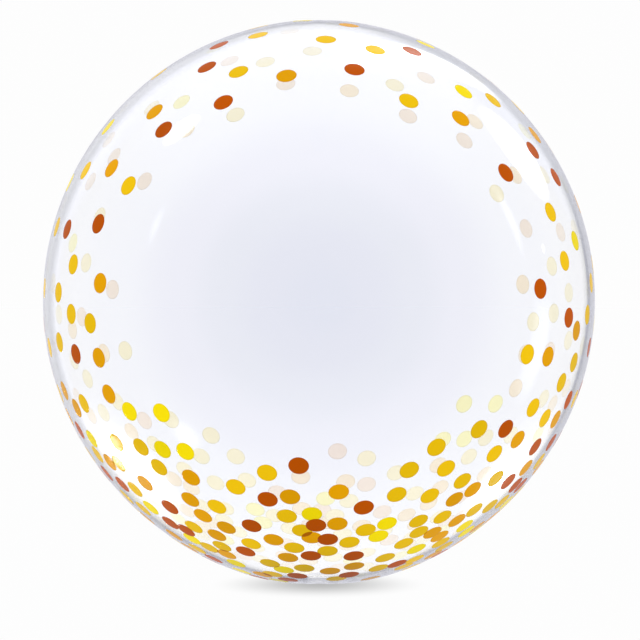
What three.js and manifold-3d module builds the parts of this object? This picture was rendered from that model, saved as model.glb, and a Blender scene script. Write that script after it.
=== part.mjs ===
// A clear bubble balloon, inflated and standing on its underside.
// Millimetres, +Z up. The origin is the middle of the flat spot that it stands on, and -Y is the front,
// where the clear window of its print faces. The crown is at the top.
// The neck is at the bottom. It is sealed flat and folded back under the balloon, towards +Y.
// The balloon is one seamless skin blown up tight and sealed, so its envelope is one closed solid.
import * as THREE from "three";
import { mergeVertices } from "three/addons/utils/BufferGeometryUtils.js";
import Module from "manifold-3d";

// Driving dimensions of the inflated envelope.
const DIAMETER = 610; // across the widest level
const CROWN_RISE = 0.0145; // how much further the crown is from the centre, as a share of the radius
const CROWN_POWER = 3; // how late that rise sets in on the way up
const BASE_RISE = 0.034; // the same below, where the skin draws out towards the neck
const BASE_POWER = 6;
const FOOT_RADIUS = 40; // the flat spot that the balloon rests on

// The neck: a flattened tube of the same skin, sealed shut near its mouth.
const NECK_WIDTH = 32; // flat width along most of its length
const NECK_ROOT_WIDTH = 24; // where it leaves the envelope
const NECK_THICKNESS = 1; // both walls, pressed together at the seal
const NECK_ROOT_THICKNESS = 3.2; // both walls, still apart at the root
const NECK_ROOT_Y = 34; // inside the envelope, so that the two join
const NECK_MOUTH_Y = 124; // the cut end, behind the foot
const NECK_REST_Z = 1.2; // height of its middle where it lies along the floor
const NECK_CURL = 6; // how far the cut end lifts

// Fineness of the faceted solids.
const TURN_STEPS = 80;
const PROFILE_STEPS = 40;
const NECK_STEPS = 14;
const NECK_RING_POINTS = 12;

const radius = DIAMETER / 2;

const material = new THREE.MeshStandardMaterial({
  color: 0xe9edf6,
  roughness: 0.05,
  metalness: 0,
  transparent: true,
  opacity: 0.35,
});

// Distance of the skin from the balloon's centre at a latitude, in radians, from -90 to 90 degrees.
function skinRadius(latitude) {
  const height = Math.sin(latitude);
  const [rise, power] = height > 0 ? [CROWN_RISE, CROWN_POWER] : [BASE_RISE, BASE_POWER];
  return radius * (1 + rise * Math.abs(height) ** power);
}

// The latitude at which the foot's flat spot meets the round skin, found by halving.
function footLatitude() {
  let low = -Math.PI / 2;
  let high = -Math.PI / 4;
  for (let i = 0; i < 50; i++) {
    const middle = (low + high) / 2;
    if (skinRadius(middle) * Math.cos(middle) < FOOT_RADIUS) low = middle;
    else high = middle;
  }
  return (low + high) / 2;
}

// The round envelope with its flat foot, turned about Z.
function envelopeGeometry() {
  const start = footLatitude();
  const centreZ = -skinRadius(start) * Math.sin(start);
  const profile = [new THREE.Vector2(0, 0)];
  for (let i = 0; i < PROFILE_STEPS; i++) {
    const latitude = start + ((Math.PI / 2 - start) * i) / PROFILE_STEPS;
    const reach = skinRadius(latitude);
    profile.push(new THREE.Vector2(reach * Math.cos(latitude), centreZ + reach * Math.sin(latitude)));
  }
  profile.push(new THREE.Vector2(0, centreZ + skinRadius(Math.PI / 2)));
  return new THREE.LatheGeometry(profile, TURN_STEPS).rotateX(Math.PI / 2);
}

// The middle of the neck's cross-section, and its half width and half thickness, at a share of its length.
function neckSection(share) {
  const spread = THREE.MathUtils.smoothstep(share, 0, 0.5);
  return {
    y: THREE.MathUtils.lerp(NECK_ROOT_Y, NECK_MOUTH_Y, share),
    z: NECK_REST_Z + (NECK_ROOT_THICKNESS / 2) * (1 - spread) ** 2 + NECK_CURL * share ** 6,
    halfWidth: THREE.MathUtils.lerp(NECK_ROOT_WIDTH, NECK_WIDTH, spread) / 2,
    halfThickness: THREE.MathUtils.lerp(NECK_ROOT_THICKNESS, NECK_THICKNESS, spread) / 2,
  };
}

// The flattened neck as rings of points from root to mouth, closed at both ends by a fan.
function neckGeometry() {
  const points = [];
  const faces = [];
  for (let i = 0; i <= NECK_STEPS; i++) {
    const { y, z, halfWidth, halfThickness } = neckSection(i / NECK_STEPS);
    for (let j = 0; j < NECK_RING_POINTS; j++) {
      const turn = (2 * Math.PI * j) / NECK_RING_POINTS;
      points.push(halfWidth * Math.cos(turn), y, z + halfThickness * Math.sin(turn));
    }
  }
  const at = (i, j) => i * NECK_RING_POINTS + (j % NECK_RING_POINTS);
  for (let i = 0; i < NECK_STEPS; i++) {
    for (let j = 0; j < NECK_RING_POINTS; j++) {
      faces.push(at(i, j), at(i + 1, j), at(i, j + 1));
      faces.push(at(i, j + 1), at(i + 1, j), at(i + 1, j + 1));
    }
  }
  for (let j = 1; j < NECK_RING_POINTS - 1; j++) {
    faces.push(at(0, 0), at(0, j), at(0, j + 1));
    faces.push(at(NECK_STEPS, 0), at(NECK_STEPS, j + 1), at(NECK_STEPS, j));
  }
  return new THREE.BufferGeometry()
    .setAttribute("position", new THREE.Float32BufferAttribute(points, 3))
    .setIndex(faces);
}

const wasm = await Module();
wasm.setup();

// A closed three.js geometry as a solid for joining.
function solidFrom(geometry) {
  geometry.deleteAttribute("normal");
  geometry.deleteAttribute("uv");
  const merged = mergeVertices(geometry, 1e-3);
  return new wasm.Manifold(
    new wasm.Mesh({
      numProp: 3,
      vertProperties: merged.attributes.position.array,
      triVerts: new Uint32Array(merged.index.array),
    }),
  );
}

// A joined solid back as a three.js geometry.
function geometryFrom(solid) {
  const { vertProperties, triVerts } = solid.getMesh();
  const geometry = new THREE.BufferGeometry()
    .setAttribute("position", new THREE.BufferAttribute(vertProperties, 3))
    .setIndex(new THREE.BufferAttribute(triVerts, 1));
  geometry.computeVertexNormals();
  return geometry;
}

const envelope = solidFrom(envelopeGeometry()).add(solidFrom(neckGeometry()));

const balloon = new THREE.Mesh(geometryFrom(envelope), material);
balloon.name = "balloon_skin";

const part = new THREE.Group();
part.add(balloon);

export default part;
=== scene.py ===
"""A clear bubble balloon, blown up tight and printed with confetti dots.

Metres, +Z up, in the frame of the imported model: the balloon stands on the floor at the origin, and its
clear window faces -Y. It is laid out as an add-on, with one operator for each piece, and is run as a script.
"""

import math
import random
from dataclasses import dataclass

import bmesh
import bpy
from bpy.props import FloatProperty, FloatVectorProperty, IntProperty, PointerProperty
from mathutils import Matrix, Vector


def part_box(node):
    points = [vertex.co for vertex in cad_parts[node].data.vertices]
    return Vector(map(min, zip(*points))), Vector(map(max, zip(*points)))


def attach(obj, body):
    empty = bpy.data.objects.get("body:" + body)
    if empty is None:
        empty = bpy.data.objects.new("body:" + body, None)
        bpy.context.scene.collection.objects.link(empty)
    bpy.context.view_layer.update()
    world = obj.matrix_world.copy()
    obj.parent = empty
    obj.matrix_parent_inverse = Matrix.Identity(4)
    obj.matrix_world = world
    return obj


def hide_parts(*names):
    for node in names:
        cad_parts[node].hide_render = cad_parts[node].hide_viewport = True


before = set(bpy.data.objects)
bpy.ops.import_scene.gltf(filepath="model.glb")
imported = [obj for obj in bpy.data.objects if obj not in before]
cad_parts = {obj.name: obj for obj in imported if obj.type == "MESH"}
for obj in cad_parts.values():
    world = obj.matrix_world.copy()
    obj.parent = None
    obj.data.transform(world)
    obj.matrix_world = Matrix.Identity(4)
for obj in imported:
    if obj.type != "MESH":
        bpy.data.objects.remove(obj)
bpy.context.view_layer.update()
SKIN_LOW, SKIN_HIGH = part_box("balloon_skin")

bl_info = {
    "name": "Clear bubble balloon",
    "version": (1, 0, 0),
    "blender": (4, 5, 0),
    "location": "3D View > Sidebar > Balloon",
    "description": "Builds a clear bubble balloon printed with confetti dots",
    "category": "Object",
}

MILLIMETRE = 0.001

# How late the skin starts to draw out of round, above towards the crown and below towards the neck.
CROWN_POWER = 3
BASE_POWER = 6

# The inks from the first printed to the last. A later ink lies over an earlier one.
INKS = ("lemon", "gold", "amber", "copper")
INK_SHARES = (11, 39, 26, 24)  # how often each ink is drawn
INK_GLOSS = 0.012  # how strongly the printed side mirrors its surroundings


def box_size(name, description, default):
    """A length that a user can change."""
    return FloatProperty(name=name, description=description, default=default, unit="LENGTH", precision=5)


def share(name, description, default):
    """A number from 0 to 1, or a little over, that a user can change."""
    return FloatProperty(name=name, description=description, default=default, subtype="FACTOR")


def colour(name, description, default):
    """A linear colour that a user can change."""
    return FloatVectorProperty(
        name=name, description=description, default=default, subtype="COLOR", size=3, min=0.0, max=1.0
    )


class SkinSettings(bpy.types.PropertyGroup):
    """The blown-up film and its sealed neck."""

    diameter: box_size("Diameter", "Width at the widest level", SKIN_HIGH.x - SKIN_LOW.x)
    crown_rise: share("Crown rise", "How far the crown is out of round, as a share of the radius", 0.0145)
    base_rise: share("Base rise", "How far the base is drawn out, as a share of the radius", 0.034)
    film_thickness: box_size("Film thickness", "Thickness of the stretched film", 0.15 * MILLIMETRE)
    foot_softness: box_size("Foot softness", "How softly the skin bends at the floor", 1 * MILLIMETRE)
    pleat_depth: box_size("Pleat depth", "Depth of the gathers round the neck's root", 0.5 * MILLIMETRE)
    tint: colour("Tint", "Colour of the film seen straight through", (0.932, 0.942, 0.983))
    # Painted shade: the film's colour darkens to this where it is seen edge-on, far more than the longer way
    # through the thin film would darken it.
    painted_edge_shade: colour("Edge tint", "Colour of the film seen edge-on, through more of it", (0.50, 0.51, 0.54))
    neck_width: box_size("Neck width", "Flat width of the neck", 32 * MILLIMETRE)
    neck_root_width: box_size("Neck root width", "Flat width at the root", 24 * MILLIMETRE)
    neck_thickness: box_size("Neck thickness", "Both walls at the seal", 1 * MILLIMETRE)
    neck_root_thickness: box_size("Neck root thickness", "Both walls at the root", 3.2 * MILLIMETRE)
    neck_start: box_size("Neck start", "Distance from the foot's middle to the neck's root", 34 * MILLIMETRE)
    neck_end: box_size("Neck end", "Distance from the foot's middle to the cut end", 123 * MILLIMETRE)


class PrintSettings(bpy.types.PropertyGroup):
    """The confetti print."""

    dot_diameter: box_size("Dot diameter", "Width of one printed dot", 22 * MILLIMETRE)
    ink_thickness: box_size("Ink thickness", "Thickness of one layer of ink", 0.04 * MILLIMETRE)
    window_width: FloatProperty(
        name="Window half width", description="Half the clear window's width", default=math.radians(50),
        subtype="ANGLE",
    )
    window_height: FloatProperty(
        name="Window half height", description="Half the clear window's height", default=math.radians(42),
        subtype="ANGLE",
    )
    window_rise: FloatProperty(
        name="Window rise", description="How far the clear window's middle is above the widest level",
        default=math.radians(7), subtype="ANGLE",
    )
    cover_above: share("Cover above", "Share of the skin that dots cover above the widest level", 0.025)
    cover_sides: share("Cover at the sides", "The same a little below the widest level", 0.075)
    cover_below: share("Cover below", "The same at the base", 0.20)
    tries: IntProperty(name="Tries", description="Places tried for a dot", default=5200, min=0)
    seed: IntProperty(name="Seed", description="Start of the scatter", default=11)
    copper: colour("Copper", "Copper-brown ink", (0.460, 0.078, 0.0006))
    amber: colour("Amber", "Amber ink", (0.720, 0.330, 0.001))
    gold: colour("Gold", "Gold-yellow ink", (0.800, 0.500, 0.004))
    lemon: colour("Lemon", "Lemon-yellow ink", (0.880, 0.700, 0.003))
    copper_ground: colour("Copper ground", "The copper dots as seen from inside", (0.87, 0.74, 0.60))
    amber_ground: colour("Amber ground", "The amber dots as seen from inside", (0.90, 0.76, 0.54))
    gold_ground: colour("Gold ground", "The gold dots as seen from inside", (0.91, 0.83, 0.54))
    lemon_ground: colour("Lemon ground", "The lemon dots as seen from inside", (0.93, 0.88, 0.42))


class StageSettings(bpy.types.PropertyGroup):
    """The floor, the light and the camera."""

    floor_size: box_size("Floor size", "Width of the floor", 400.0)
    floor_colour: colour("Floor colour", "Pale floor", (0.8566, 0.8566, 0.8566))
    # Painted shadow: the floor's colour is darkened in a soft oval round the balloon's foot, set by the next
    # four values.
    contact_shade: share("Contact shade", "Brightness of the floor where the balloon rests on it", 0.50)
    contact_width: box_size("Contact width", "How far that shade reaches to each side", 0.122)
    contact_depth: box_size("Contact depth", "How far that shade reaches to the front and back", 0.270)
    contact_front: box_size("Contact front", "How far in front of the foot that shade is deepest", 0.035)
    camera_distance: box_size("Camera distance", "From the balloon's middle to the camera", 5.5)
    frame_share: share("Frame share", "The balloon's width as a share of the picture's", 0.8625)
    backdrop: share("Backdrop", "Brightness of the white backdrop", 0.985)
    fill: FloatProperty(name="Fill", description="Brightness of the soft light all round", default=1.15)


# ---------------------------------------------------------------- shape of the skin


def skin_centre(skin):
    """The middle of the balloon's widest level."""
    return Vector((0, 0, SKIN_HIGH.z - skin.diameter / 2 * (1 + skin.crown_rise)))


def skin_point(skin, direction, lift=0.0):
    """The point of the skin that lies along a unit direction from its middle, moved out by lift."""
    height = direction.z
    rise, power = (skin.crown_rise, CROWN_POWER) if height > 0 else (skin.base_rise, BASE_POWER)
    reach = skin.diameter / 2 * (1 + rise * abs(height) ** power)
    return skin_centre(skin) + direction * (reach + lift)


def film_point(skin, direction, lift=0.0):
    """The same on the finished film, which bends softly at the floor and is gathered at the neck."""
    point = skin_point(skin, direction, lift)
    point.z = (point.z + math.hypot(point.z, skin.foot_softness)) / 2
    outward = math.hypot(point.x, point.y)
    fade = smooth_step(outward, 0.012, 0.034) * (1 - smooth_step(outward, 0.034, 0.078))
    turn = math.atan2(point.x, point.y)
    pleat = 0.5 + 0.5 * math.cos(14 * turn + 1.3 * math.sin(3 * turn))
    return point + Vector((0, 0, skin.pleat_depth * fade * pleat))


def direction_at(azimuth, latitude):
    """The unit direction at an azimuth, from the front towards +X, and a latitude, both in radians."""
    level = math.cos(latitude)
    return Vector((level * math.sin(azimuth), -level * math.cos(azimuth), math.sin(latitude)))


def smooth_step(value, low, high):
    """0 below low, 1 above high, and a smooth climb between."""
    t = min(max((value - low) / (high - low), 0.0), 1.0)
    return t * t * (3 - 2 * t)


def blend(first, second, part):
    """The value a part of the way from first to second."""
    return first + (second - first) * part


# ---------------------------------------------------------------- nodes


class NodeSheet:
    """Short hand for placing nodes in one tree and wiring them up."""

    def __init__(self, tree):
        self.tree = tree

    def add(self, kind, inputs=None, **settings):
        """A new node with its settings, and with each named input set or wired."""
        node = self.tree.nodes.new(kind)
        for name, value in settings.items():
            setattr(node, name, value)
        for key, value in (inputs or {}).items():
            self.feed(node.inputs[key], value)
        return node

    def feed(self, socket, value):
        """Wires an output to the socket, or sets its plain value."""
        if isinstance(value, bpy.types.NodeSocket):
            self.tree.links.new(value, socket)
        else:
            socket.default_value = value

    def maths(self, operation, *values):
        node = self.add("ShaderNodeMath", operation=operation)
        for socket, value in zip(node.inputs, values):
            self.feed(socket, value)
        return node.outputs[0]

    def vector_maths(self, operation, *values):
        node = self.add("ShaderNodeVectorMath", operation=operation)
        for socket, value in zip(node.inputs, values):
            self.feed(socket, value)
        return node

    def smooth(self, value, low, high, start=0.0, end=1.0):
        """A smooth climb from start to end as the value goes from low to high."""
        inputs = {"Value": value, "From Min": low, "From Max": high, "To Min": start, "To Max": end}
        return self.add("ShaderNodeMapRange", inputs, interpolation_type="SMOOTHSTEP").outputs["Result"]

    def mix(self, part, first, second, kind="MIX"):
        """Two colours mixed."""
        node = self.add("ShaderNodeMix", data_type="RGBA", blend_type=kind)
        for index, value in ((0, part), (6, first), (7, second)):
            self.feed(node.inputs[index], value)
        return node.outputs[2]


def node_group(name, inputs, outputs, fill):
    """A shader node group with named sockets, built once. fill draws its nodes."""
    if name in bpy.data.node_groups:
        return bpy.data.node_groups[name]
    group = bpy.data.node_groups.new(name, "ShaderNodeTree")
    for socket_name, kind, default in inputs:
        socket = group.interface.new_socket(socket_name, in_out="INPUT", socket_type=f"NodeSocket{kind}")
        socket.default_value = default
    for socket_name, kind in outputs:
        group.interface.new_socket(socket_name, in_out="OUTPUT", socket_type=f"NodeSocket{kind}")
    sheet = NodeSheet(group)
    fill(sheet, sheet.add("NodeGroupInput").outputs, sheet.add("NodeGroupOutput").inputs)
    return group


def ink_laydown_group():
    """How a layer of ink lies on the film: mottled, different from dot to dot, and fuller at its rim."""

    def fill(sheet, given, result):
        place = sheet.add("ShaderNodeTexCoord").outputs["Object"]
        mottled = {"Vector": place, "Scale": given["Mottle scale"], "Detail": 3.0}
        cloud = sheet.add("ShaderNodeTexNoise", mottled)
        grain = sheet.add("ShaderNodeTexNoise", {"Vector": place, "Scale": 1900.0, "Detail": 2.0})
        tone = sheet.add("ShaderNodeAttribute", attribute_name="tone").outputs["Fac"]
        rim = sheet.add("ShaderNodeAttribute", attribute_name="rim").outputs["Fac"]
        mottle = sheet.maths("SUBTRACT", cloud.outputs["Fac"], 0.5)
        mottle = sheet.maths("MULTIPLY", mottle, given["Mottle"])
        swing = sheet.maths("MULTIPLY", sheet.maths("SUBTRACT", tone, 0.5), given["Dot to dot"])
        edge = sheet.maths("MULTIPLY", sheet.smooth(rim, 0.86, 1.0), given["Rim"])
        level = sheet.maths("ADD", 1.0, sheet.maths("ADD", mottle, swing))
        level = sheet.maths("SUBTRACT", level, edge)
        shade = sheet.add("ShaderNodeHueSaturation", {"Color": given["Ink"], "Value": level, "Fac": 1.0})
        sheet.feed(result["Colour"], shade.outputs["Color"])
        sheet.feed(result["Roughness"], sheet.smooth(cloud.outputs["Fac"], 0.3, 0.7, 0.12, 0.22))
        sheet.feed(result["Height"], sheet.maths("ADD", grain.outputs["Fac"], edge))

    inputs = (
        ("Ink", "Color", (0.8, 0.5, 0.1, 1.0)),
        ("Mottle", "Float", 0.12),
        ("Mottle scale", "Float", 420.0),
        ("Dot to dot", "Float", 0.16),
        ("Rim", "Float", 0.10),
    )
    outputs = (("Colour", "Color"), ("Roughness", "Float"), ("Height", "Float"))
    return node_group("ink_laydown", inputs, outputs, fill)


def stretched_film_group():
    """The slight waves, flow marks and dust haze of a stretched plastic film."""

    def fill(sheet, given, result):
        place = sheet.add("ShaderNodeTexCoord").outputs["Object"]
        drawn = sheet.add("ShaderNodeMapping", {"Vector": place, "Scale": (1.0, 1.0, 0.35)})
        drawn = drawn.outputs["Vector"]
        waves = {"Vector": drawn, "Scale": given["Wave scale"], "Detail": 2.0}
        wave = sheet.add("ShaderNodeTexNoise", waves)
        marks = {"Vector": drawn, "Scale": 38.0, "Detail": 6.0, "Roughness": 0.6}
        haze = sheet.add("ShaderNodeTexNoise", marks)
        rough = sheet.smooth(haze.outputs["Fac"], 0.45, 0.75, 0.0, 1.0)
        sheet.feed(result["Roughness"], sheet.maths("MULTIPLY", rough, given["Haze"]))
        sheet.feed(result["Height"], wave.outputs["Fac"])

    inputs = (("Wave scale", "Float", 9.0), ("Haze", "Float", 0.03))
    outputs = (("Roughness", "Float"), ("Height", "Float"))
    return node_group("stretched_film", inputs, outputs, fill)


def softbox_group():
    """The outline of a soft rectangular light, as seen along a direction."""

    def fill(sheet, given, result):
        along = given["Direction"]
        facing = sheet.vector_maths("DOT_PRODUCT", along, given["Facing"]).outputs["Value"]
        across = sheet.vector_maths("DOT_PRODUCT", along, given["Across"]).outputs["Value"]
        upward = sheet.vector_maths("DOT_PRODUCT", along, given["Upward"]).outputs["Value"]
        reach = 0.0
        for offset, half in ((across, given["Half width"]), (upward, given["Half height"])):
            step = sheet.maths("DIVIDE", sheet.maths("ABSOLUTE", offset), half)
            reach = sheet.maths("ADD", reach, sheet.maths("POWER", step, given["Squareness"]))
        reach = sheet.maths("POWER", reach, sheet.maths("DIVIDE", 1.0, given["Squareness"]))
        beyond = sheet.maths("DIVIDE", sheet.maths("SUBTRACT", reach, 1.0), given["Feather"])
        fade = sheet.smooth(beyond, -1.0, 1.0, 1.0, 0.0)
        sheet.feed(result["Mask"], sheet.maths("MULTIPLY", fade, sheet.maths("GREATER_THAN", facing, 0.0)))

    inputs = (
        ("Direction", "Vector", (0, 0, 1)),
        ("Facing", "Vector", (0, 0, 1)),
        ("Across", "Vector", (1, 0, 0)),
        ("Upward", "Vector", (0, 1, 0)),
        ("Half width", "Float", 0.1),
        ("Half height", "Float", 0.1),
        ("Squareness", "Float", 4.0),
        ("Feather", "Float", 0.2),
    )
    return node_group("softbox", inputs, (("Mask", "Float"),), fill)


# ---------------------------------------------------------------- materials


def new_material(name):
    """An empty material, its node sheet and its one shader."""
    material = bpy.data.materials.new(name)
    material.use_nodes = True
    sheet = NodeSheet(material.node_tree)
    return material, sheet, material.node_tree.nodes["Principled BSDF"]


def film_material(skin, name, haze, wave_height):
    """Clear glossy film, with painted shade towards its outline. haze is how much it scatters, and
    wave_height is in metres.
    """
    material, sheet, shader = new_material(name)
    surface = sheet.add("ShaderNodeGroup", {}, node_tree=stretched_film_group())
    surface.inputs["Haze"].default_value = haze
    bump = sheet.add("ShaderNodeBump", {"Distance": wave_height, "Height": surface.outputs["Height"]})
    # Painted shade: towards the outline, where the film is seen edge-on, its colour is mixed towards the
    # darker edge colour, so that the rim reads grey from every side.
    facing = sheet.add("ShaderNodeLayerWeight", {"Blend": 0.5}).outputs["Facing"]
    edge = sheet.smooth(facing, 0.70, 0.80)
    sheet.feed(shader.inputs["Base Color"], sheet.mix(edge, (*skin.tint, 1.0), (*skin.painted_edge_shade, 1.0)))
    sheet.feed(shader.inputs["Metallic"], 0.0)
    sheet.feed(shader.inputs["Transmission Weight"], 1.0)
    sheet.feed(shader.inputs["IOR"], 1.5)
    sheet.feed(shader.inputs["Roughness"], surface.outputs["Roughness"])
    sheet.feed(shader.inputs["Normal"], bump.outputs["Normal"])
    return material


def unless_reflected(sheet):
    """1, or 0 to a ray that the film has reflected, so that the far wall doesn't mirror the print."""
    path = sheet.add("ShaderNodeLightPath").outputs
    return sheet.maths("LESS_THAN", path["Glossy Depth"], 0.5)


def ink_material(name, ink, gloss, dot_to_dot):
    """A layer of ink, or of the pale ground under it."""
    material, sheet, shader = new_material(name)
    layer = sheet.add("ShaderNodeGroup", {}, node_tree=ink_laydown_group())
    layer.inputs["Ink"].default_value = (*ink, 1.0)
    layer.inputs["Dot to dot"].default_value = dot_to_dot
    bump = sheet.add("ShaderNodeBump", {"Distance": 0.000004, "Height": layer.outputs["Height"]})
    sheet.feed(shader.inputs["Base Color"], layer.outputs["Colour"])
    sheet.feed(shader.inputs["Roughness"], layer.outputs["Roughness"])
    sheet.feed(shader.inputs["Normal"], bump.outputs["Normal"])
    sheet.feed(shader.inputs["Specular IOR Level"], gloss)
    sheet.feed(shader.inputs["Alpha"], unless_reflected(sheet))
    return material


def overprint_material():
    """Two inks lying over each other. Each patch carries its own colour."""
    material, sheet, shader = new_material("overprint")
    both = sheet.add("ShaderNodeAttribute", attribute_name="both_inks").outputs["Color"]
    layer = sheet.add("ShaderNodeGroup", {"Ink": both}, node_tree=ink_laydown_group())
    sheet.feed(shader.inputs["Base Color"], layer.outputs["Colour"])
    sheet.feed(shader.inputs["Roughness"], layer.outputs["Roughness"])
    sheet.feed(shader.inputs["Specular IOR Level"], INK_GLOSS)
    sheet.feed(shader.inputs["Alpha"], unless_reflected(sheet))
    return material


# ---------------------------------------------------------------- meshes


def new_piece(name, mesh, materials):
    """An object for the mesh, with its materials, that rides on the balloon's one body."""
    piece = bpy.data.objects.new(name, mesh)
    bpy.context.scene.collection.objects.link(piece)
    for material in materials:
        mesh.materials.append(material)
    mesh.shade_smooth()
    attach(piece, "root")
    return piece


def film_mesh(skin):
    """The outside of the film: a finely divided ball drawn to the skin's outline, flat where it stands."""
    shell = bmesh.new()
    bmesh.ops.create_icosphere(shell, subdivisions=7, radius=1.0)
    gathers = [edge for edge in shell.edges if max(v.co.z for v in edge.verts) < -0.967]
    bmesh.ops.subdivide_edges(shell, edges=gathers, cuts=1, use_grid_fill=True)
    for vertex in shell.verts:
        vertex.co = film_point(skin, vertex.co.normalized())
    bmesh.ops.triangulate(shell, faces=shell.faces)
    mesh = bpy.data.meshes.new("balloon_film")
    shell.to_mesh(mesh)
    shell.free()
    return mesh


def neck_mesh(skin):
    """The flattened neck, from its root under the skin to its cut end, with its sealed ribs."""
    steps = 72
    around = 48
    vertices = []
    for i in range(steps + 1):
        along = i / steps
        vertices += neck_ring(skin, along, around)
    faces = [tuple(reversed(range(around)))]
    for i in range(steps):
        for j in range(around):
            k = (j + 1) % around
            faces.append((i * around + j, i * around + k, (i + 1) * around + k, (i + 1) * around + j))
    faces.append(tuple(steps * around + j for j in range(around)))
    mesh = bpy.data.meshes.new("sealed_neck")
    mesh.from_pydata(vertices, [], faces)
    mesh.update()
    return mesh


def neck_ring(skin, along, around):
    """One cross-section of the neck, at a part of the way from its root to its cut end."""
    spread = smooth_step(along, 0.0, 0.5)
    half_width = blend(skin.neck_root_width, skin.neck_width, spread) / 2
    half_thickness = blend(skin.neck_root_thickness, skin.neck_thickness, spread) / 2
    root_lift = skin.neck_root_thickness / 2 * (1 - spread) ** 2
    middle = Vector((0, blend(skin.neck_start, skin.neck_end, along), 0.0012 + root_lift + 0.006 * along**6))
    seal = smooth_step(along, 0.70, 0.73) * (1 - smooth_step(along, 0.87, 0.90))
    rib = 0.16 * MILLIMETRE * seal * math.cos(2 * math.pi * along * 34)
    ring = []
    for j in range(around):
        turn = 2 * math.pi * j / around
        side = math.cos(turn)
        crease = 0.3 * MILLIMETRE * (1 - spread) * math.cos(5 * math.pi * side)
        open_lips = 0.5 * MILLIMETRE * smooth_step(along, 0.92, 1.0) * (1 - side * side)
        depth = math.sin(turn) * (half_thickness + open_lips) + rib + crease
        ring.append(middle + Vector((side * half_width, 0, depth)))
    return ring


class PrintLayer:
    """The thin closed patches of one ink, gathered into one mesh."""

    def __init__(self, name):
        self.mesh = bpy.data.meshes.new(name)
        self.vertices = []
        self.faces = []
        self.sides = []
        self.tones = []
        self.rims = []
        self.colours = []

    def add(self, skin, outline, low, high, tone, ink):
        """A patch inside a closed outline of unit directions, between the lifts low and high."""
        middle = sum(outline, Vector()).normalized()
        count = len(outline)
        rings = (0.45, 0.86, 1.0)
        start = len(self.vertices)
        for lift in (high, low):
            self.place(skin, middle, lift, 0.0, tone, ink)
            for ring in rings:
                for edge in outline:
                    self.place(skin, middle.lerp(edge, ring).normalized(), lift, ring, tone, ink)
        layer = 1 + count * len(rings)
        for side, base in enumerate((start, start + layer)):
            self.cap(base, count, len(rings), side)
        last = 1 + count * (len(rings) - 1)
        for j in range(count):
            k = (j + 1) % count
            upper = start + last
            lower = upper + layer
            self.faces.append((upper + j, lower + j, lower + k, upper + k))
            self.sides.append(0)

    def place(self, skin, direction, lift, rim, tone, ink):
        self.vertices.append(film_point(skin, direction, lift))
        self.rims.append(rim)
        self.tones.append(tone)
        self.colours.extend((*ink, 1.0))

    def cap(self, base, count, rings, side):
        """The faces of the patch's top, side 0, or of its underside, side 1."""
        faces = []
        for j in range(count):
            k = (j + 1) % count
            faces.append((base, base + 1 + j, base + 1 + k))
            for ring in range(1, rings):
                inner = base + 1 + count * (ring - 1)
                outer = inner + count
                faces.append((inner + j, outer + j, outer + k, inner + k))
        self.faces += [face if side == 0 else tuple(reversed(face)) for face in faces]
        self.sides += [side] * len(faces)

    def finish(self):
        """The mesh, with the tone and the place of each point across its dot kept for the ink's material."""
        self.mesh.from_pydata(self.vertices, [], self.faces)
        self.mesh.polygons.foreach_set("material_index", self.sides)
        for name, values in (("tone", self.tones), ("rim", self.rims)):
            self.mesh.attributes.new(name, "FLOAT", "POINT").data.foreach_set("value", values)
        inks = self.mesh.attributes.new("both_inks", "FLOAT_COLOR", "POINT")
        inks.data.foreach_set("color", self.colours)
        self.mesh.update()
        return self.mesh


# ---------------------------------------------------------------- layout of the print


def half_turn(direction):
    """The same place on the other half of the balloon, where the print repeats."""
    return Vector((-direction.x, -direction.y, direction.z))


def coverage(dots, azimuth, latitude):
    """The share of the skin that the dots cover: none in the window, little above it, most at the base."""
    across = azimuth / dots.window_width
    up = (latitude - dots.window_rise) / dots.window_height
    edge = math.hypot(across, up)
    if edge < 1:
        return 0.0
    level = math.degrees(latitude)
    cover = blend(dots.cover_above, dots.cover_sides, smooth_step(-level, -12, 14))
    cover = blend(cover, dots.cover_below, smooth_step(-level, 22, 56))
    near_window = blend(0.45, 1.0, smooth_step(edge, 1.0, 1.4))
    return cover * (near_window if level < 0 else 1.0)


def scatter_dots(skin, dots):
    """The direction and the ink of each printed dot. One half is scattered, and the other repeats it."""
    draw = random.Random(dots.seed)
    across = dots.dot_diameter / (skin.diameter / 2)
    placed = []
    for _ in range(dots.tries):
        azimuth = draw.uniform(-math.pi / 2, math.pi / 2)
        latitude = math.asin(draw.uniform(-0.981, 0.995))
        reach = draw.uniform(0.42, 1.24)
        ink = draw.choices(INKS, weights=INK_SHARES)[0]
        cover = coverage(dots, azimuth, latitude)
        if cover == 0:
            continue
        spacing = across * reach * math.sqrt(0.5 / cover)
        here = direction_at(azimuth, latitude)
        if all(min((here - d).length, (here - half_turn(d)).length) > spacing for d, _ in placed):
            placed.append((here, ink))
    placed.sort(key=lambda dot: INKS.index(dot[1]))
    return placed + [(half_turn(direction), ink) for direction, ink in placed]


def tangents(direction):
    """Two unit directions along the skin, square to each other: to the side and up."""
    side = Vector((0, 0, 1)).cross(direction).normalized()
    return side, direction.cross(side)


def dot_outline(direction, radius, count=36):
    """A circle of unit directions about a direction. radius is an angle in radians."""
    side, upward = tangents(direction)
    reach = math.tan(radius)
    turns = (2 * math.pi * i / count for i in range(count))
    return [(direction + (side * math.cos(t) + upward * math.sin(t)) * reach).normalized() for t in turns]


def lens_outline(first, second, radius, count=12):
    """The outline of the overlap of two dots: two arcs that meet at its points."""
    gap = (second - first).length / 2
    half = math.acos(min(gap / radius, 1.0))
    middle = (first + second).normalized()
    toward = (second - first).normalized()
    upward = middle.cross(toward)
    outline = []
    for side in (1, -1):
        for i in range(count):
            turn = blend(-half, half, i / count)
            step = toward * side * (radius * math.cos(turn) - gap) + upward * side * radius * math.sin(turn)
            outline.append((middle + step).normalized())
    return outline


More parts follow.
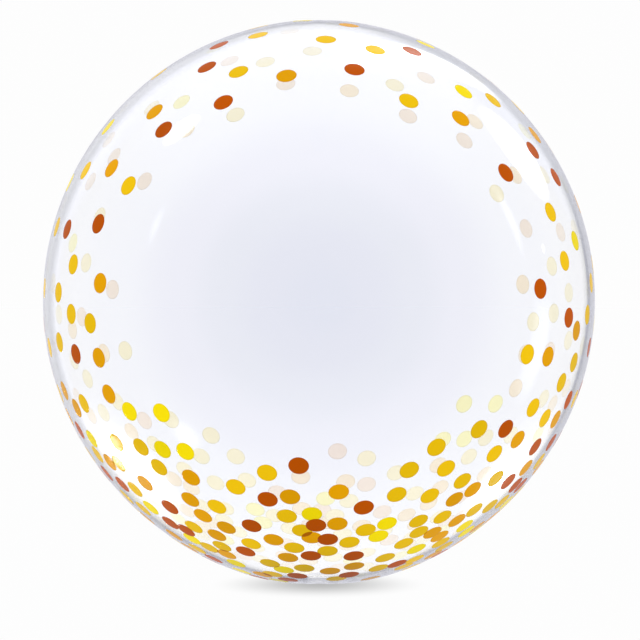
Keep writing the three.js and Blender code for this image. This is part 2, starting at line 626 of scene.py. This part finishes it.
def stack_layers(placed, across):
    """How many layers of ink lie under each dot, counting itself, and the pairs that overlap."""
    layers = []
    pairs = []
    for i, (direction, _) in enumerate(placed):
        under = [j for j in range(i) if (placed[j][0] - direction).length < across]
        layers.append(1 + max((layers[j] for j in under), default=0))
        pairs += [(j, i) for j in under]
    return layers, pairs


# ---------------------------------------------------------------- operators


class BALLOON_OT_skin(bpy.types.Operator):
    """Make the clear film, a thin wall round the whole balloon"""

    bl_idname = "balloon.skin"
    bl_label = "Clear Film"

    def execute(self, context):
        skin = context.scene.balloon_skin
        film = film_material(skin, "clear_film", 0.02, 0.00012)
        piece = new_piece("balloon_film", film_mesh(skin), [film])
        wall = piece.modifiers.new("film_wall", "SOLIDIFY")
        wall.thickness = skin.film_thickness
        wall.offset = -1.0
        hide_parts("balloon_skin")
        piece.visible_shadow = False
        piece.visible_diffuse = False
        return {"FINISHED"}


class BALLOON_OT_neck(bpy.types.Operator):
    """Make the flattened neck, heat-sealed near its cut end"""

    bl_idname = "balloon.neck"
    bl_label = "Sealed Neck"

    def execute(self, context):
        skin = context.scene.balloon_skin
        film = film_material(skin, "sealed_film", 0.22, 0.0003)
        piece = new_piece("sealed_neck", neck_mesh(skin), [film])
        piece.visible_shadow = False
        piece.visible_diffuse = False
        return {"FINISHED"}


class BALLOON_OT_print(bpy.types.Operator):
    """Print the confetti dots, one layer for each ink, each dot with its pale ground inside"""

    bl_idname = "balloon.print"
    bl_label = "Confetti Print"

    def execute(self, context):
        skin = context.scene.balloon_skin
        dots = context.scene.balloon_print
        across = dots.dot_diameter / (skin.diameter / 2)
        placed = scatter_dots(skin, dots)
        levels, pairs = stack_layers(placed, across)
        draw = random.Random(dots.seed + 1)
        layers = {ink: PrintLayer(f"dots_{ink}") for ink in INKS}
        step = 1.6 * dots.ink_thickness
        for (direction, ink), level in zip(placed, levels):
            low = level * step
            outline = dot_outline(direction, across / 2)
            layers[ink].add(skin, outline, low, low + dots.ink_thickness, draw.random(), getattr(dots, ink))
        for ink, layer in layers.items():
            outside = ink_material(f"ink_{ink}", getattr(dots, ink), INK_GLOSS, 0.16)
            inside = ink_material(f"ground_{ink}", getattr(dots, f"{ink}_ground"), 0.0, 0.04)
            piece = new_piece(f"dots_{ink}", layer.finish(), [outside, inside])
            piece.visible_diffuse = False
        self.overprint(skin, dots, placed, levels, pairs)
        return {"FINISHED"}

    def overprint(self, skin, dots, placed, levels, pairs):
        """The darker lenses where one yellow ink lies over another."""
        across = dots.dot_diameter / (skin.diameter / 2)
        lenses = PrintLayer("overprint")
        step = 1.6 * dots.ink_thickness
        for lower, upper in pairs:
            inks = [placed[i][1] for i in (lower, upper)]
            gap = (placed[lower][0] - placed[upper][0]).length
            if "copper" in inks or inks[0] == inks[1] or gap > 0.95 * across:
                continue
            both = [0.7 * a * b for a, b in zip(getattr(dots, inks[0]), getattr(dots, inks[1]))]
            outline = lens_outline(placed[lower][0], placed[upper][0], across / 2)
            low = levels[upper] * step + 1.1 * dots.ink_thickness
            lenses.add(skin, outline, low, low + 0.4 * dots.ink_thickness, 0.5, both)
        if lenses.vertices:
            piece = new_piece("overprint", lenses.finish(), [overprint_material()] * 2)
            piece.visible_diffuse = False


class BALLOON_OT_stage(bpy.types.Operator):
    """Set up the pale floor, the soft white studio and the camera"""

    bl_idname = "balloon.stage"
    bl_label = "Floor, Light and Camera"

    def execute(self, context):
        stage = context.scene.balloon_stage
        skin = context.scene.balloon_skin
        self.floor(stage)
        context.scene.world = self.studio(stage)
        context.scene.camera = self.camera(stage, skin)
        context.scene.view_settings.view_transform = "Standard"
        return {"FINISHED"}

    def floor(self, stage):
        """A pale floor with a painted shadow: its colour darkens in a soft oval round the balloon's foot.
        Reflections in the film look past it, at the studio's own soft boxes.
        """
        half = stage.floor_size / 2
        corners = [(-half, -half, 0), (half, -half, 0), (half, half, 0), (-half, half, 0)]
        mesh = bpy.data.meshes.new("floor")
        mesh.from_pydata(corners, [], [(0, 1, 2, 3)])
        floor = bpy.data.objects.new("floor", mesh)
        bpy.context.scene.collection.objects.link(floor)
        material, sheet, shader = new_material("pale_floor")
        # The painted shadow: the floor's colour falls to the contact shade level in an oval round the foot,
        # and climbs back to the floor colour at the oval's edge.
        place = sheet.add("ShaderNodeTexCoord").outputs["Object"]
        place = sheet.vector_maths("ADD", place, (0.0, stage.contact_front, 0.0)).outputs["Vector"]
        reach = sheet.vector_maths("DIVIDE", place, (stage.contact_width, stage.contact_depth, 1.0))
        reach = sheet.vector_maths("LENGTH", reach.outputs["Vector"]).outputs["Value"]
        painted_shadow_mask = sheet.smooth(reach, 0.0, 1.0, stage.contact_shade, 1.0)
        floor_with_painted_shadow = sheet.mix(painted_shadow_mask, (0.0, 0.0, 0.0, 1.0), (*stage.floor_colour, 1.0))
        sheet.feed(shader.inputs["Base Color"], floor_with_painted_shadow)
        sheet.feed(shader.inputs["Roughness"], 1.0)
        sheet.feed(shader.inputs["Specular IOR Level"], 0.0)
        path = sheet.add("ShaderNodeLightPath").outputs
        reflected = sheet.maths("GREATER_THAN", path["Glossy Depth"], 0.5)
        unseen = sheet.add("ShaderNodeBsdfTransparent").outputs["BSDF"]
        either = sheet.add("ShaderNodeMixShader", {0: reflected, 1: shader.outputs["BSDF"], 2: unseen})
        output = sheet.tree.nodes["Material Output"]
        sheet.feed(output.inputs["Surface"], either.outputs[0])
        mesh.materials.append(material)

    def studio(self, stage):
        """White all round to the eye. What the film reflects is dimmer and bluer towards the viewer."""
        world = bpy.data.worlds.new("white_studio")
        world.use_nodes = True
        world.cycles.sampling_method = "NONE"
        tree = world.node_tree
        tree.nodes.clear()
        sheet = NodeSheet(tree)
        direction = sheet.add("ShaderNodeTexCoord").outputs["Generated"]
        axes = sheet.add("ShaderNodeSeparateXYZ", {"Vector": direction}).outputs
        depth = sheet.maths("MULTIPLY_ADD", axes["Y"], 0.5, 0.5)
        ramp = sheet.add("ShaderNodeValToRGB", {"Fac": depth})
        fill_ramp(ramp.color_ramp, STUDIO_DEPTHS)
        overhead = sheet.smooth(axes["Z"], 0.35, 1.0, 0.0, 0.55)
        seen = sheet.mix(1.0, ramp.outputs["Color"], overhead, "ADD")
        path = sheet.add("ShaderNodeLightPath").outputs
        at_front = sheet.maths("LESS_THAN", path["Transmission Depth"], 2.5)
        for panel in PANELS:
            seen = self.with_panel(sheet, seen, direction, at_front, panel)
        straight = sheet.maths("ADD", path["Is Camera Ray"], path["Is Transmission Ray"])
        level = sheet.smooth(straight, 0.0, 1.0, stage.fill, stage.backdrop)
        grey = {"Red": level, "Green": level, "Blue": level}
        plain = sheet.add("ShaderNodeCombineColor", grey).outputs["Color"]
        reflected = sheet.maths("GREATER_THAN", path["Glossy Depth"], 0.5)
        light = sheet.mix(reflected, plain, seen)
        background = sheet.add("ShaderNodeBackground", {"Color": light, "Strength": 1.0})
        sheet.add("ShaderNodeOutputWorld", {"Surface": background.outputs["Background"]})
        return world

    def with_panel(self, sheet, seen, direction, at_front, panel):
        """The reflected studio with one more panel in it, which lights or shades what lies behind it."""
        facing = direction_at(math.radians(panel.azimuth), math.radians(panel.elevation))
        level, upright = tangents(facing)
        roll = math.radians(panel.roll)
        across = level * math.cos(roll) + upright * math.sin(roll)
        upward = upright * math.cos(roll) - level * math.sin(roll)
        box = sheet.add("ShaderNodeGroup", {}, node_tree=softbox_group())
        for name, value in (
            ("Direction", direction),
            ("Facing", facing),
            ("Across", across),
            ("Upward", upward),
            ("Half width", panel.half_width),
            ("Half height", panel.half_height),
            ("Squareness", panel.squareness),
            ("Feather", panel.feather),
        ):
            sheet.feed(box.inputs[name], value)
        mask = box.outputs["Mask"]
        if panel.front_only:
            mask = sheet.maths("MULTIPLY", mask, at_front)
        return sheet.mix(mask, seen, (*panel.colour, 1.0))

    def camera(self, stage, skin):
        """A long lens level with the balloon's middle."""
        data = bpy.data.cameras.new("camera")
        radius = skin.diameter / 2
        distance = stage.camera_distance
        half_view = radius / math.sqrt(distance**2 - radius**2) / stage.frame_share
        data.lens = data.sensor_width / 2 / half_view
        data.shift_y = -0.031
        data.shift_x = 0.0016
        data.clip_end = 1000.0
        camera = bpy.data.objects.new("camera", data)
        bpy.context.scene.collection.objects.link(camera)
        camera.location = skin_centre(skin) + Vector((0, -distance, 0))
        camera.rotation_euler = (math.pi / 2, 0, 0)
        return camera


# What the film reflects, from straight behind the viewer, 0, to straight ahead, 1.
STUDIO_DEPTHS = (
    (0.0, (0.30, 0.32, 0.50)),
    (0.03, (0.41, 0.39, 0.54)),
    (0.12, (0.61, 0.60, 0.64)),
    (0.25, (0.95, 0.87, 0.89)),
    (0.50, (1.31, 1.26, 1.09)),
    (0.75, (1.26, 1.22, 1.07)),
    (0.85, (1.11, 1.08, 0.98)),
    (0.92, (1.04, 1.02, 0.97)),
)


@dataclass(frozen=True)
class Panel:
    """A light or dark panel of the reflected studio. Angles are in degrees, sizes shares of distance."""

    azimuth: float
    elevation: float
    half_width: float
    half_height: float
    colour: tuple
    roll: float = 0.0
    squareness: float = 2.0  # 2 for an ellipse, and more towards a rectangle
    feather: float = 0.3  # width of its soft edge, as a share of its size
    front_only: bool = True  # left out of what the far wall reflects


PANELS = (
    # a darker frame far behind the balloon, which draws its rim
    Panel(176, -3, 0.443, 0.490, (0.62, 0.62, 0.68), feather=0.025, front_only=False),
    Panel(176, -3, 0.360, 0.400, (0.86, 0.86, 0.93), feather=0.08, front_only=False),
    # the brighter wall above it and beside it
    Panel(180, 43, 0.42, 0.33, (1.60, 1.60, 1.62), feather=0.25),
    Panel(-155, 24, 0.28, 0.28, (1.32, 1.32, 1.37), feather=0.5),
    Panel(155, 24, 0.25, 0.25, (1.08, 1.09, 1.15), feather=0.5),
    Panel(-152, 0, 0.22, 0.34, (1.12, 1.12, 1.15), feather=0.5),
    # broad soft light from low on both sides and from above
    Panel(-134, -31, 0.30, 0.16, (1.9, 1.9, 1.9), roll=-24, feather=0.9),
    Panel(138, -29, 0.28, 0.14, (1.7, 1.7, 1.7), roll=24, feather=0.9),
    Panel(-131, -35, 0.14, 0.10, (9.0, 9.0, 9.0), roll=-24, feather=0.95),
    Panel(138, -33, 0.12, 0.08, (8.0, 8.0, 8.0), roll=24, feather=0.95),
    Panel(160, 46, 0.08, 0.26, (12.0, 12.0, 12.0), feather=0.8),
    Panel(131, 29, 0.11, 0.11, (22.0, 22.0, 22.0), feather=0.8),
    Panel(-108, 49, 0.05, 0.06, (24.0, 24.0, 24.0), feather=0.9),
    # narrow strips and small windows
    Panel(-78, 24, 0.028, 0.085, (2.1, 2.1, 2.1), feather=0.95),
    Panel(96, 23, 0.030, 0.13, (2.6, 2.6, 2.6), feather=0.95),
    Panel(111, 12, 0.014, 0.014, (6.0, 6.0, 6.0), feather=0.7),
    Panel(106, -12, 0.10, 0.20, (1.9, 1.9, 1.9), squareness=4, feather=0.4),
    Panel(-82, -45, 0.08, 0.08, (2.4, 2.4, 2.4), feather=0.6),
    Panel(-135, -27, 0.13, 0.055, (60.0, 60.0, 60.0), roll=-24, squareness=4, feather=0.12),
)


def fill_ramp(ramp, stops):
    """Sets a colour ramp's stops."""
    ramp.interpolation = "EASE"
    while len(ramp.elements) < len(stops):
        ramp.elements.new(0.5)
    for element, (position, tint) in zip(ramp.elements, stops):
        element.position = position
        element.color = (*tint, 1.0)


class BALLOON_PT_panel(bpy.types.Panel):
    """Lists the balloon's pieces"""

    bl_idname = "BALLOON_PT_panel"
    bl_label = "Bubble Balloon"
    bl_space_type = "VIEW_3D"
    bl_region_type = "UI"
    bl_category = "Balloon"

    def draw(self, context):
        for operator in OPERATORS:
            self.layout.operator(operator.bl_idname)
        for group in (context.scene.balloon_skin, context.scene.balloon_print, context.scene.balloon_stage):
            box = self.layout.box()
            for name in group.__annotations__:
                box.prop(group, name)


SETTINGS = (
    ("balloon_skin", SkinSettings),
    ("balloon_print", PrintSettings),
    ("balloon_stage", StageSettings),
)
OPERATORS = (BALLOON_OT_skin, BALLOON_OT_neck, BALLOON_OT_print, BALLOON_OT_stage)


def register():
    for name, settings in SETTINGS:
        bpy.utils.register_class(settings)
        setattr(bpy.types.Scene, name, PointerProperty(type=settings))
    for operator in OPERATORS:
        bpy.utils.register_class(operator)
    bpy.utils.register_class(BALLOON_PT_panel)


def unregister():
    bpy.utils.unregister_class(BALLOON_PT_panel)
    for operator in reversed(OPERATORS):
        bpy.utils.unregister_class(operator)
    for name, settings in reversed(SETTINGS):
        delattr(bpy.types.Scene, name)
        bpy.utils.unregister_class(settings)


def main():
    register()
    bpy.ops.balloon.skin()
    bpy.ops.balloon.neck()
    bpy.ops.balloon.print()
    bpy.ops.balloon.stage()


if __name__ == "__main__":
    main()
